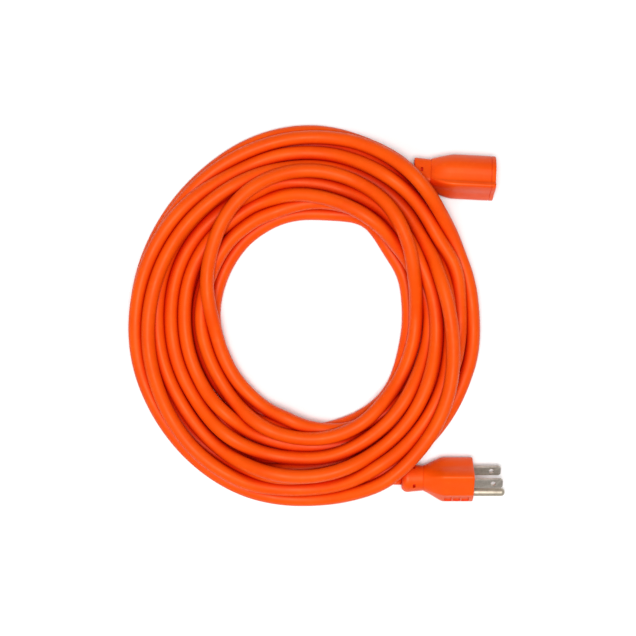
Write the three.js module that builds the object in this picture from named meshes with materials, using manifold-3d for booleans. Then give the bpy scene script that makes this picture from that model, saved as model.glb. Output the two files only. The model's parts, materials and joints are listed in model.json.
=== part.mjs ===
// Coiled three-wire extension cord with a moulded plug and a moulded connector.
//
// Millimetres, +Z up. The origin is on the floor, in the middle of the cord's bounding box.
// Each moulded end is built in a frame of its own: +X out of its face, +Y from the neutral
// side to the line side, +Z towards the ground pin. The end is then rolled, turned and placed.
import * as THREE from "three";
import { ConvexGeometry } from "three/addons/geometries/ConvexGeometry.js";
import { mergeVertices } from "three/addons/utils/BufferGeometryUtils.js";
import Module from "manifold-3d";

const wasm = await Module();
wasm.setup();

// ---------------------------------------------------------------- driving dimensions

const GAP = 0.3; // between pieces that touch on the real cord
const CORE_SLIDE = 0.25; // round a copper core, in its crimp barrel and in its insulation
const COIL_CLEARANCE = 0.5; // between the coil and the moulded ends it lies against
const THROUGH = 1; // how far a cutting shape runs past the face it opens

// Cord: three stranded copper cores, each insulated, in one round jacket.
const CORE_DIAMETER = 1.4;
const INSULATION_WALL = 0.65;
const JACKET_FIT = 0.27; // between the three wires and the jacket's inside
const JACKET_WALL = 0.85;
const WIRE_DIAMETER = CORE_DIAMETER + 2 * INSULATION_WALL;
const WIRE_SPREAD = (WIRE_DIAMETER + GAP) / Math.sqrt(3); // cord axis to wire axis
const CORD_DIAMETER = 2 * (WIRE_SPREAD + WIRE_DIAMETER / 2 + JACKET_FIT + JACKET_WALL);
const WIRE_LEAD = 0.2; // share of a wire's way in that is straight, at each end

// Blades and pin of a 15 A grounding plug.
const BLADE_OFFSET = 6.35;
const BLADE_WIDTH = 6.35;
const BLADE_THICKNESS = 1.5;
const BLADE_REACH = 17.5;
const BLADE_CORNER = 1.2;
const BLADE_HOLE_DIAMETER = 3.2;
const BLADE_HOLE_REACH = 11.7;
const PIN_OFFSET = 11.9;
const PIN_DIAMETER = 4.8;
const PIN_REACH = 20.1;
const PIN_SHANK_DIAMETER = 3.4;
const BLADE_TAIL_WIDTH = 3.2;
const BRIDGE_THICKNESS = 7;

// Crimp barrels, the same on blades, pin and contacts.
const BARREL_WALL = 0.55;
const BARREL_LENGTH = 5;
const BARREL_OVERLAP = 1; // how much of the barrel is solid, where the tail joins it

// Female contacts of the connector.
const CONTACT_START = 4.5; // behind the connector's face
const CONTACT_LENGTH = 13;
const CONTACT_METAL = 0.5;
const CONTACT_OPENING = BLADE_THICKNESS - 0.3; // sprung tight on the blade
const CONTACT_WIDTH = 6;
const CONTACT_FLARE = 0.35; // how far each leaf opens at its mouth
const CONTACT_FLARE_DEPTH = 2;
const SOCKET_BORE = PIN_DIAMETER - 0.1; // sprung tight on the pin
const SOCKET_SLIT = 0.8;
const SOCKET_SLIT_LENGTH = 9;
const CARRIER_LENGTH = 16;
const GROUND_HOLE_DIAMETER = PIN_DIAMETER + 0.6;
const SLOT_CLEARANCE = 0.35; // round a blade in the connector's slots

// An end's outline follows its blades and pin: sideRoom and crestRoom are the way from the
// middle of a blade and of the pin to the outside.
const withOutline = (end) => ({
  ...end,
  halfWidth: BLADE_OFFSET + end.sideRoom,
  crest: PIN_OFFSET + end.crestRoom,
  stub: { ...end.stub, radius: CORD_DIAMETER / 2 + GAP + end.stub.wall },
});

// Moulded plug body: a flat base, straight sides, then two slanted sides up to a narrow crest.
const PLUG = withOutline({
  faceX: 95.1,
  faceY: -98.5,
  yaw: 0,
  sideRoom: 4.15,
  crestRoom: 3.6,
  base: -7.8,
  shoulder: 6.5,
  crestHalfWidth: 5,
  fillet: 2,
  wall: 1.6,
  faceWall: 3,
  straight: 19,
  length: 30.7,
  neck: { axis: 1, halfY: 7.7, halfZ: 7.7, fillet: 7.7 },
  stub: { wall: 1.5, length: 4.5 },
  relief: [
    { back: 0, flare: 0 },
    { back: 9, flare: 0.9 },
    { back: 11, flare: 0.5 },
    { back: 13, flare: -1.2 },
  ],
  wiresMeet: 25,
});

// Moulded connector body: a flat base and straight sides under a round arch.
const CONNECTOR = withOutline({
  faceX: 108.1,
  faceY: 81.4,
  yaw: -3,
  lean: 20,
  sideRoom: 4.4,
  crestRoom: 5.1,
  base: -7.5,
  fillet: 2,
  wall: 1.6,
  faceWall: 3,
  straight: 25,
  length: 39.3,
  neck: { axis: 3.7, halfY: 7, halfZ: 8.8, fillet: 4 },
  stub: { wall: 1.5, length: 4.5 },
  relief: [
    { back: 0, flare: -0.4 },
    { back: 9.6, flare: 0.2 },
    { back: 10.1, flare: -0.3 },
  ],
  wiresMeet: 33.5,
});

// Flex slots round each strain relief.
const FLEX_SLOT = { back: 5.5, length: 1.6, width: 2.6, depth: 2.2 };

// Coil: the outer shape of all the turns together, an oval ring whose hole sits off centre.
const COIL = {
  centreX: -8.1,
  centreY: 0,
  halfX: 107.4,
  halfY: 116.6,
  holeHalfX: 55.5,
  holeHalfY: 61.7,
  holeShiftX: 4,
  holeShiftY: -2.8,
  width: 52,
  height: 29,
  topInset: 2, // the top layer's outer edge, in from the coil's outer edge
  slopeStart: 27, // the top layer's inner edge, in from the hole's edge
  innerHeight: 9,
  fillet: 3.5,
};

// Routes of the two stretches between the moulded ends and the coil, from each end inwards.
// Each starts with a straight lead out of its strain relief.
const TAIL_LEAD = 2;
const PLUG_TAIL = [
  [46.0, -99.2, 11.7],
  [40.0, -98.7, 10.4],
  [33.0, -97.8, 8.4],
  [26.0, -97.1, 6.6],
  [18.0, -96.9, 5.5],
  [9.0, -97.4, 5.3],
];
const CONNECTOR_TAIL = [
  [52.0, 87.9, 11.3],
  [45.0, 89.0, 10.2],
  [38.0, 90.5, 8.6],
  [31.0, 92.1, 7.0],
  [24.0, 93.6, 5.9],
  [16.0, 94.9, 5.4],
  [8.0, 95.8, 5.3],
];

const SHARPEST_FILLET = 0.2; // what is left of a fillet that an inset would use up

// Facet counts.
const COIL_SEGMENTS = 72;
const ROUND_SEGMENTS = 24;
const BARREL_SEGMENTS = 16;
const CORD_SIDES = 10;
const WIRE_SIDES = 6;
const WIRE_STEPS = 18;
const CORE_STEPS = 22;
const TAIL_STEP = 1.25; // cord diameters from one ring of a tail to the next
const FILLET_STEPS = 3;
const ARCH_STEPS = 8;
const DOME_STEPS = 5;

// ---------------------------------------------------------------- materials

const orangeVinyl = { color: 0xf4510c, roughness: 0.42, metalness: 0 };
const MATERIALS = {
  jacket: orangeVinyl,
  moulding: { ...orangeVinyl, color: 0xf04a0a, roughness: 0.48 },
  nickel: { color: 0xa39b8e, roughness: 0.32, metalness: 1 },
  pinBrass: { color: 0xc8bda3, roughness: 0.3, metalness: 1 },
  contactBrass: { color: 0xb9974f, roughness: 0.35, metalness: 1 },
  copper: { color: 0xb87046, roughness: 0.4, metalness: 1 },
  carrier: { color: 0x2b2a28, roughness: 0.6, metalness: 0 },
  lineInsulation: { color: 0x1a1a1a, roughness: 0.5, metalness: 0 },
  neutralInsulation: { color: 0xe8e6df, roughness: 0.5, metalness: 0 },
  groundInsulation: { color: 0x2f8f3a, roughness: 0.5, metalness: 0 },
};

// ---------------------------------------------------------------- solids

const AXIS_X = new THREE.Vector3(1, 0, 0);
const AXIS_Y = new THREE.Vector3(0, 1, 0);
const AXIS_Z = new THREE.Vector3(0, 0, 1);
// A shape drawn in X and Y and extruded along Z, turned to lie in Y and Z and run along X.
const SHAPE_TO_YZ = new THREE.Matrix4().makeBasis(AXIS_Y, AXIS_Z, AXIS_X);
// The same shape turned to lie in X and Z and run along -Y.
const SHAPE_TO_XZ = new THREE.Matrix4().makeBasis(AXIS_X, AXIS_Z, AXIS_Y.clone().negate());

// A closed geometry as a solid that can be joined and cut.
function solidFrom(geometry) {
  const bare = geometry.index ? geometry.toNonIndexed() : geometry.clone();
  bare.deleteAttribute("normal");
  bare.deleteAttribute("uv");
  const merged = mergeVertices(bare);
  return new wasm.Manifold(
    new wasm.Mesh({
      numProp: 3,
      vertProperties: merged.attributes.position.array,
      triVerts: new Uint32Array(merged.index.array),
    }),
  );
}

// A cut or joined solid as a geometry again.
function geometryFrom(solid) {
  const { vertProperties, triVerts } = solid.getMesh();
  const geometry = new THREE.BufferGeometry();
  geometry.setAttribute("position", new THREE.BufferAttribute(vertProperties, 3));
  geometry.setIndex(new THREE.BufferAttribute(triVerts, 1));
  geometry.computeVertexNormals();
  return geometry;
}

// The first geometry with the others taken out of it.
function cut(geometry, cutters) {
  const solid = cutters.reduce((left, cutter) => left.subtract(solidFrom(cutter)), solidFrom(geometry));
  return geometryFrom(solid);
}

// Geometries joined into one.
function join(first, ...others) {
  return geometryFrom(others.reduce((sum, other) => sum.add(solidFrom(other)), solidFrom(first)));
}

// A closed outline round convex corners, given anticlockwise, with a fillet at each corner.
// A positive inset draws it that far inside, a negative one outside.
function outline(corners, fillets, inset = 0, steps = FILLET_STEPS) {
  const outwards = (from, to) => new THREE.Vector2(to.y - from.y, from.x - to.x).normalize();
  return corners.flatMap((corner, i) => {
    const before = outwards(corners.at(i - 1), corner);
    const after = outwards(corner, corners[(i + 1) % corners.length]);
    const radius = Math.max(fillets[i] - inset, SHARPEST_FILLET);
    const diagonal = before.clone().add(after).divideScalar(1 + before.dot(after));
    const centre = corner.clone().addScaledVector(diagonal, -(inset + radius));
    return Array.from({ length: steps + 1 }, (_, step) => {
      const turn = Math.atan2(before.cross(after), before.dot(after)) * (step / steps);
      return before.clone().rotateAround(new THREE.Vector2(), turn).multiplyScalar(radius).add(centre);
    });
  });
}

function rectangle(halfX, halfY, centreY = 0) {
  return [
    new THREE.Vector2(-halfX, centreY - halfY),
    new THREE.Vector2(halfX, centreY - halfY),
    new THREE.Vector2(halfX, centreY + halfY),
    new THREE.Vector2(-halfX, centreY + halfY),
  ];
}

function circle(radius, centreX = 0, centreY = 0, sides = ROUND_SEGMENTS) {
  return Array.from({ length: sides }, (_, i) => {
    const angle = (2 * Math.PI * i) / sides;
    return new THREE.Vector2(centreX + radius * Math.cos(angle), centreY + radius * Math.sin(angle));
  });
}

// Points of an outline in Y and Z, at one place along X.
const stationAt = (x, points) => points.map((p) => new THREE.Vector3(x, p.x, p.y));

// A straight bar with the given outline in Y and Z, between two places along X.
function barAlongX(points, fromX, toX, holes = []) {
  const shape = new THREE.Shape(points);
  shape.holes = holes.map((hole) => new THREE.Path(hole));
  const bar = new THREE.ExtrudeGeometry(shape, { depth: toX - fromX, bevelEnabled: false });
  return bar.applyMatrix4(SHAPE_TO_YZ).translate(fromX, 0, 0);
}

// A sheet with the given outline in X and Z, centred on one place along Y.
function sheetAcrossY(points, thickness, centreY, holes = []) {
  const shape = new THREE.Shape(points);
  shape.holes = holes.map((hole) => new THREE.Path(hole));
  const sheet = new THREE.ExtrudeGeometry(shape, { depth: thickness, bevelEnabled: false });
  return sheet.applyMatrix4(SHAPE_TO_XZ).translate(0, centreY + thickness / 2, 0);
}

// A turned piece: its profile gives [radius, x], from the axis or round and back to the start.
function turnedAlongX(profile, segments, centreY = 0, centreZ = 0) {
  const points = profile.map(([radius, x]) => new THREE.Vector2(radius, x));
  return new THREE.LatheGeometry(points, segments).rotateZ(-Math.PI / 2).translate(0, centreY, centreZ);
}

// A round bar or tube along a curve.
function tubeAlong(curve, radius, sides, steps, boreRadius = 0) {
  const shape = new THREE.Shape(circle(radius, 0, 0, sides));
  if (boreRadius > 0) shape.holes = [new THREE.Path(circle(boreRadius, 0, 0, sides))];
  return new THREE.ExtrudeGeometry(shape, { steps, extrudePath: curve });
}

function named(name, geometry, material) {
  const mesh = new THREE.Mesh(geometry, new THREE.MeshStandardMaterial(material));
  mesh.name = name;
  return mesh;
}

// ---------------------------------------------------------------- moulded bodies

const plugCorners = [
  new THREE.Vector2(-PLUG.halfWidth, PLUG.base),
  new THREE.Vector2(PLUG.halfWidth, PLUG.base),
  new THREE.Vector2(PLUG.halfWidth, PLUG.shoulder),
  new THREE.Vector2(PLUG.crestHalfWidth, PLUG.crest),
  new THREE.Vector2(-PLUG.crestHalfWidth, PLUG.crest),
  new THREE.Vector2(-PLUG.halfWidth, PLUG.shoulder),
];
const plugSection = (inset) => outline(plugCorners, plugCorners.map(() => PLUG.fillet), inset);

const connectorMiddle = (CONNECTOR.base + CONNECTOR.crest) / 2;
const connectorCorners = rectangle(CONNECTOR.halfWidth, CONNECTOR.crest - connectorMiddle, connectorMiddle);
const connectorFillets = [CONNECTOR.fillet, CONNECTOR.fillet, CONNECTOR.halfWidth, CONNECTOR.halfWidth];
const connectorSection = (inset) => outline(connectorCorners, connectorFillets, inset, ARCH_STEPS);

const neckSection = ({ axis, halfY, halfZ, fillet }, inset) =>
  outline(rectangle(halfY, halfZ, axis), Array(4).fill(fillet), inset, ARCH_STEPS);

// The convex form of a moulded body: straight behind its face, then slanting in to the neck.
function bodyForm(end, section, inset, frontX) {
  return new ConvexGeometry([
    ...stationAt(frontX, section(inset)),
    ...stationAt(-end.straight, section(inset)),
    ...stationAt(-end.length, neckSection(end.neck, inset)),
  ]);
}

// The hollow of a moulded body, open at the back for the strain relief's stub.
function bodyHollow(end, section) {
  const rearBore = circle(end.stub.radius + GAP, 0, end.neck.axis);
  return new ConvexGeometry([
    ...stationAt(-end.faceWall, section(end.wall)),
    ...stationAt(-end.straight + end.wall, section(end.wall)),
    ...stationAt(-end.length - THROUGH, rearBore),
  ]);
}

// Cutting shapes for the two blade slots and the round hole, between two places along X.
function openings(fromX, toX, bladeClearance, roundDiameter) {
  const halfY = BLADE_THICKNESS / 2 + bladeClearance;
  const halfZ = BLADE_WIDTH / 2 + bladeClearance;
  const slot = barAlongX(rectangle(halfY, halfZ), fromX, toX);
  const hole = barAlongX(circle(roundDiameter / 2, 0, PIN_OFFSET), fromX, toX);
  return [slot.clone().translate(0, BLADE_OFFSET, 0), slot.translate(0, -BLADE_OFFSET, 0), hole];
}

function mouldedBody(end, section, bladeClearance, roundDiameter) {
  const cutters = openings(-end.faceWall - THROUGH, THROUGH, bladeClearance, roundDiameter);
  return cut(bodyForm(end, section, 0, 0), [bodyHollow(end, section), ...cutters]);
}

// The sleeve round the cord behind a body: a stub inside the body, a flared neck, flex slots.
function strainRelief(end) {
  const { axis } = end.neck;
  const neckFront = -end.length - GAP;
  const neck = new ConvexGeometry(
    end.relief.flatMap(({ back, flare }) => stationAt(neckFront - back, neckSection(end.neck, -flare))),
  );
  const stubFront = -end.length + end.stub.length;
  const stub = barAlongX(circle(end.stub.radius, 0, axis), neckFront - THROUGH, stubFront);
  const bore = circle(CORD_DIAMETER / 2 + GAP, 0, axis);
  const boreCutter = barAlongX(bore, reliefRear(end) - THROUGH, stubFront + THROUGH);
  const slotMiddle = neckFront - FLEX_SLOT.back;
  const slots = [0, 1, 2, 3].map((quarter) => {
    const reach = quarter % 2 ? end.neck.halfZ : end.neck.halfY;
    return new THREE.BoxGeometry(FLEX_SLOT.length, 2 * FLEX_SLOT.depth, FLEX_SLOT.width)
      .translate(0, reach, 0)
      .rotateX((quarter * Math.PI) / 2)
      .translate(slotMiddle, 0, axis);
  });
  return cut(join(neck, stub), [boreCutter, ...slots]);
}

const reliefRear = (end) => -end.length - GAP - end.relief.at(-1).back;

// ---------------------------------------------------------------- metal and wires

const coreBore = CORE_DIAMETER / 2 + CORE_SLIDE;
const barrelRadius = coreBore + BARREL_WALL;

// A crimp barrel behind startX, solid at its front and bored from its back.
function barrelProfile(startX) {
  return [
    [barrelRadius, startX],
    [barrelRadius, startX - BARREL_LENGTH],
    [coreBore, startX - BARREL_LENGTH],
    [coreBore, startX - BARREL_OVERLAP],
    [0, startX - BARREL_OVERLAP],
  ];
}

const crimpBarrel = (startX, y, z) =>
  turnedAlongX([[0, startX], ...barrelProfile(startX)].reverse(), BARREL_SEGMENTS, y, z);

const bridgeFront = -PLUG.faceWall - GAP;
const bridgeRear = bridgeFront - BRIDGE_THICKNESS;
const bladeBarrelStart = bridgeRear - GAP;

function blade(side) {
  const halfWidth = BLADE_WIDTH / 2;
  const tip = BLADE_REACH - BLADE_CORNER;
  const half = [
    [BLADE_REACH, halfWidth - BLADE_CORNER],
    [tip, halfWidth],
    [bridgeRear + GAP, halfWidth],
    [bridgeRear + GAP, BLADE_TAIL_WIDTH / 2],
    [bladeBarrelStart - BARREL_OVERLAP, BLADE_TAIL_WIDTH / 2],
  ].map(([x, z]) => new THREE.Vector2(x, z));
  const other = half.map((p) => new THREE.Vector2(p.x, -p.y)).reverse();
  const hole = circle(BLADE_HOLE_DIAMETER / 2, BLADE_HOLE_REACH, 0);
  const plate = sheetAcrossY([...half, ...other], BLADE_THICKNESS, side * BLADE_OFFSET, [hole]);
  return join(plate, crimpBarrel(bladeBarrelStart, side * BLADE_OFFSET, 0));
}

function groundPin() {
  const radius = PIN_DIAMETER / 2;
  const dome = Array.from({ length: DOME_STEPS + 1 }, (_, i) => {
    const angle = (Math.PI / 2) * (1 - i / DOME_STEPS);
    return [radius * Math.cos(angle), PIN_REACH - radius + radius * Math.sin(angle)];
  });
  const profile = [
    ...dome,
    [radius, -PLUG.faceWall],
    [PIN_SHANK_DIAMETER / 2, -PLUG.faceWall],
    [PIN_SHANK_DIAMETER / 2, bladeBarrelStart],
    ...barrelProfile(bladeBarrelStart),
  ];
  return turnedAlongX(profile.reverse(), BARREL_SEGMENTS, 0, PIN_OFFSET);
}

// The stiff insert inside the plug that holds the blades and the pin in line.
function bladeBridge() {
  const block = barAlongX(plugSection(PLUG.wall + GAP), bridgeRear, bridgeFront);
  const shankHole = PIN_SHANK_DIAMETER + 2 * GAP;
  return cut(block, openings(bridgeRear - THROUGH, bridgeFront + THROUGH, GAP, shankHole));
}

const contactFront = -CONTACT_START;
const contactRear = contactFront - CONTACT_LENGTH;
const contactBarrelStart = contactRear + GAP;
const contactHalf = CONTACT_OPENING / 2 + CONTACT_METAL;

// A folded double-wipe contact: two leaves that flare at the mouth, and a crimp barrel.
function bladeContact(side) {
  const flareStart = contactFront - CONTACT_FLARE_DEPTH;
  const outer = [
    [contactRear, contactHalf],
    [flareStart, contactHalf],
    [contactFront, contactHalf + CONTACT_FLARE],
  ];
  const inner = [
    [contactFront, contactHalf + CONTACT_FLARE - CONTACT_METAL],
    [flareStart, CONTACT_OPENING / 2],
    [contactRear + CONTACT_METAL, CONTACT_OPENING / 2],
  ];
  const half = [...outer, ...inner].map(([x, y]) => new THREE.Vector2(x, y));
  const mirrored = half.map((p) => new THREE.Vector2(p.x, -p.y)).reverse();
  const shape = new THREE.Shape([...half, ...mirrored]);
  const leaves = new THREE.ExtrudeGeometry(shape, { depth: CONTACT_WIDTH, bevelEnabled: false });
  leaves.translate(0, side * BLADE_OFFSET, -CONTACT_WIDTH / 2);
  return join(leaves, crimpBarrel(contactBarrelStart, side * BLADE_OFFSET, 0));
}

// A round socket for the ground pin, slit so that it grips.
function groundContact() {
  const bore = SOCKET_BORE / 2;
  const radius = bore + CONTACT_METAL;
  const profile = [
    [0, contactRear + CONTACT_METAL],
    [bore, contactRear + CONTACT_METAL],
    [bore, contactFront],
    [radius, contactFront],
    [radius, contactRear],
    ...barrelProfile(contactRear),
  ];
  const socket = turnedAlongX(profile.reverse(), BARREL_SEGMENTS, 0, PIN_OFFSET);
  const slit = new THREE.BoxGeometry(2 * SOCKET_SLIT_LENGTH, SOCKET_SLIT, 4 * radius);
  return cut(socket, [slit.translate(contactFront, 0, PIN_OFFSET)]);
}

// The stiff block inside the connector that holds the three contacts.
function contactCarrier() {
  const front = -CONNECTOR.faceWall - GAP;
  const rear = front - CARRIER_LENGTH;
  const block = barAlongX(connectorSection(CONNECTOR.wall + GAP), rear, front);
  const pocket = rectangle(contactHalf + CONTACT_FLARE + GAP, CONTACT_WIDTH / 2 + GAP);
  const pockets = [1, -1].map((side) =>
    barAlongX(pocket, rear - THROUGH, front + THROUGH).translate(0, side * BLADE_OFFSET, 0),
  );
  const socketRadius = SOCKET_BORE / 2 + CONTACT_METAL + GAP;
  const socket = barAlongX(circle(socketRadius, 0, PIN_OFFSET), rear - THROUGH, front + THROUGH);
  return cut(block, [...pockets, socket]);
}

// The three wires of one end: side is 1 on the line side, -1 on the neutral side, 0 for ground.
const WIRES = [
  { name: "line", side: 1, material: MATERIALS.lineInsulation },
  { name: "neutral", side: -1, material: MATERIALS.neutralInsulation },
  { name: "ground", side: 0, material: MATERIALS.groundInsulation },
];

// A wire's path, from its crimp barrel at y and z to its place in the jacket.
function wirePath(end, startX, y, z) {
  const side = Math.sign(y);
  const jacketY = side * WIRE_SPREAD * Math.cos(Math.PI / 6);
  const jacketZ = end.neck.axis + (side ? -WIRE_SPREAD / 2 : WIRE_SPREAD);
  const lead = (startX + end.wiresMeet) * WIRE_LEAD;
  return new THREE.CatmullRomCurve3([
    new THREE.Vector3(startX, y, z),
    new THREE.Vector3(startX - lead, y, z),
    new THREE.Vector3(-end.wiresMeet + lead, jacketY, jacketZ),
    new THREE.Vector3(-end.wiresMeet, jacketY, jacketZ),
    new THREE.Vector3(reliefRear(end), jacketY, jacketZ),
  ]);
}

// Insulation and core of each wire. The line wire lies on the +Y side when lineSide is 1.
function wires(prefix, end, lineSide, bladeBarrel, groundBarrel) {
  return WIRES.flatMap(({ name, side, material }) => {
    const barrel = side ? bladeBarrel : groundBarrel;
    const y = side * lineSide * BLADE_OFFSET;
    const z = side ? 0 : PIN_OFFSET;
    const insulated = wirePath(end, barrel - BARREL_LENGTH - GAP, y, z);
    const bare = new THREE.CurvePath();
    const tip = new THREE.Vector3(barrel - BARREL_OVERLAP - GAP, y, z);
    bare.add(new THREE.LineCurve3(tip, insulated.points[0]));
    bare.add(insulated);
    const insulation = tubeAlong(insulated, WIRE_DIAMETER / 2, WIRE_SIDES, WIRE_STEPS, coreBore);
    const core = tubeAlong(bare, CORE_DIAMETER / 2, WIRE_SIDES, CORE_STEPS);
    return [
      named(`${prefix}_${name}_wire_insulation`, insulation, material),
      named(`${prefix}_${name}_copper_core`, core, MATERIALS.copper),
    ];
  });
}

// The stripped end of the jacket, held in the strain relief.
function jacketEnd(end) {
  const outer = circle(CORD_DIAMETER / 2, 0, end.neck.axis);
  const inner = circle(CORD_DIAMETER / 2 - JACKET_WALL, 0, end.neck.axis);
  const strippedX = -end.length + end.stub.length;
  return barAlongX(outer, reliefRear(end), strippedX, [inner.reverse()]);
}

// ---------------------------------------------------------------- the two ends

// A group whose +X points out of the end's face, rolled about it and turned about the vertical.
function placedEnd(end, roll, height) {
  const group = new THREE.Group();
  group.rotation.set(roll, 0, THREE.MathUtils.degToRad(end.yaw), "ZYX");
  group.position.set(end.faceX, end.faceY, height);
  group.updateMatrixWorld(true);
  return group;
}

// The plug lies on the slanted side next to its neutral blade.
function buildPlug() {
  const slant = Math.atan2(PLUG.halfWidth - PLUG.crestHalfWidth, PLUG.crest - PLUG.shoulder);
  const roll = Math.PI / 2 + slant;
  const height = PLUG.halfWidth * Math.cos(slant) + PLUG.shoulder * Math.sin(slant);
  const group = placedEnd(PLUG, roll, height);
  group.add(
    named("plug_body", mouldedBody(PLUG, plugSection, GAP, PIN_DIAMETER + 2 * GAP), MATERIALS.moulding),
    named("plug_strain_relief", strainRelief(PLUG), MATERIALS.moulding),
    named("plug_blade_bridge", bladeBridge(), MATERIALS.carrier),
    named("plug_line_blade", blade(1), MATERIALS.nickel),
    named("plug_neutral_blade", blade(-1), MATERIALS.nickel),
    named("plug_ground_pin", groundPin(), MATERIALS.pinBrass),
    named("plug_jacket_end", jacketEnd(PLUG), MATERIALS.jacket),
    ...wires("plug", PLUG, 1, bladeBarrelStart, bladeBarrelStart),
  );
  return group;
}

// The connector leans over on its arch, with its base turned partly upwards.
function buildConnector() {
  const lean = THREE.MathUtils.degToRad(CONNECTOR.lean);
  const roll = -Math.PI / 2 - lean;
  const archCentre = CONNECTOR.crest - CONNECTOR.halfWidth;
  const height = CONNECTOR.halfWidth + archCentre * Math.sin(lean);
  const group = placedEnd(CONNECTOR, roll, height);
  const body = mouldedBody(CONNECTOR, connectorSection, SLOT_CLEARANCE, GROUND_HOLE_DIAMETER);
  group.add(
    named("connector_body", body, MATERIALS.moulding),
    named("connector_strain_relief", strainRelief(CONNECTOR), MATERIALS.moulding),
    named("connector_contact_carrier", contactCarrier(), MATERIALS.carrier),
    named("connector_line_contact", bladeContact(-1), MATERIALS.contactBrass),
    named("connector_neutral_contact", bladeContact(1), MATERIALS.contactBrass),
    named("connector_ground_contact", groundContact(), MATERIALS.contactBrass),
    named("connector_jacket_end", jacketEnd(CONNECTOR), MATERIALS.jacket),
    ...wires("connector", CONNECTOR, -1, contactBarrelStart, contactRear),
  );
  return group;
}

// ---------------------------------------------------------------- cord

// The route of a tail: straight out of the strain relief, then through its chosen points.
function tailCurve(group, end, points) {
  const startX = reliefRear(end) - GAP;
  const lead = [startX, startX - TAIL_LEAD].map((x) =>
    new THREE.Vector3(x, 0, end.neck.axis).applyMatrix4(group.matrixWorld),
  );
  return new THREE.CatmullRomCurve3([...lead, ...points.map((p) => new THREE.Vector3(...p))]);
}

function tailTube(curve, extra = 0) {
  const steps = Math.round(curve.getLength() / (TAIL_STEP * CORD_DIAMETER));
  return tubeAlong(curve, CORD_DIAMETER / 2 + extra, CORD_SIDES, steps);
}

// The tunnel that a tail needs through the coil: wider than the cord, and a little longer.
function tailTunnel(curve) {
  const last = curve.points.at(-1);
  const onwards = curve.getTangent(1);
  const longer = new THREE.CatmullRomCurve3([
    ...curve.points.slice(0, -1),
    last.clone().addScaledVector(onwards, GAP),
  ]);
  return tailTube(longer, COIL_CLEARANCE);
}

// What a moulded end takes out of the coil: its body and its neck, with the clearance round them.
function endRoom(group, end, section) {
  const body = bodyForm(end, section, -COIL_CLEARANCE, COIL_CLEARANCE);
  const neckFront = -end.length - GAP;
  const neckRoom = end.relief.map(({ back, flare }) => [back, neckSection(end.neck, -flare - COIL_CLEARANCE)]);
  const neck = new ConvexGeometry([
    ...stationAt(neckFront + COIL_CLEARANCE, neckRoom[0][1]),
    ...neckRoom.flatMap(([back, points]) => stationAt(neckFront - back - COIL_CLEARANCE, points)),
  ]);
  return [body, neck].map((geometry) => geometry.applyMatrix4(group.matrixWorld));
}

// The coil as one ring. The lathe turns a profile whose radius runs from 1 at the hole to 2 at
// the outside, and each point then moves to its place between the two ovals.
function coilRing() {
  const { width, height } = COIL;
  const profile = outline(
    [
      new THREE.Vector2(0, 0),
      new THREE.Vector2(width, 0),
      new THREE.Vector2(width - COIL.topInset, height),
      new THREE.Vector2(COIL.slopeStart, height),
      new THREE.Vector2(0, COIL.innerHeight),
    ],
    Array(5).fill(COIL.fillet),
  );
  const turned = profile.map((p) => new THREE.Vector2(1 + p.x / width, p.y));
  turned.push(turned[0].clone());
  const ring = new THREE.LatheGeometry(turned, COIL_SEGMENTS).rotateX(Math.PI / 2);
  const position = ring.attributes.position;
  for (let i = 0; i < position.count; i += 1) {
    const radius = Math.hypot(position.getX(i), position.getY(i));
    const across = radius - 1;
    const cosine = position.getX(i) / radius;
    const sine = position.getY(i) / radius;
    const holeX = COIL.holeShiftX + COIL.holeHalfX * cosine;
    const holeY = COIL.holeShiftY + COIL.holeHalfY * sine;
    position.setX(i, COIL.centreX + THREE.MathUtils.lerp(holeX, COIL.halfX * cosine, across));
    position.setY(i, COIL.centreY + THREE.MathUtils.lerp(holeY, COIL.halfY * sine, across));
  }
  return ring;
}

const plug = buildPlug();
const connector = buildConnector();
const plugTail = tailCurve(plug, PLUG, PLUG_TAIL);
const connectorTail = tailCurve(connector, CONNECTOR, CONNECTOR_TAIL);
const coil = cut(coilRing(), [
  ...endRoom(plug, PLUG, plugSection),
  ...endRoom(connector, CONNECTOR, connectorSection),
  tailTunnel(plugTail),
  tailTunnel(connectorTail),
]);

const extensionCord = new THREE.Group();
extensionCord.add(
  plug,
  connector,
  named("cord_coil", coil, MATERIALS.jacket),
  named("cord_plug_tail", tailTube(plugTail), MATERIALS.jacket),
  named("cord_connector_tail", tailTube(connectorTail), MATERIALS.jacket),
);

export default extensionCord;
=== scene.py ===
"""Looks of a coiled three-wire extension cord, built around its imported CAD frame.

Metres, +Z up, in the frame of the CAD model. Each moulded end is modelled in its own frame, with +X
out of its face, +Y from the neutral side to the line side and +Z towards the ground pin, and is then
put where it lies.
"""
import json
import logging
import math
from dataclasses import dataclass, field, replace
from enum import Enum

import bmesh
import bpy
import numpy as np
from mathutils import Matrix, Vector

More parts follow.
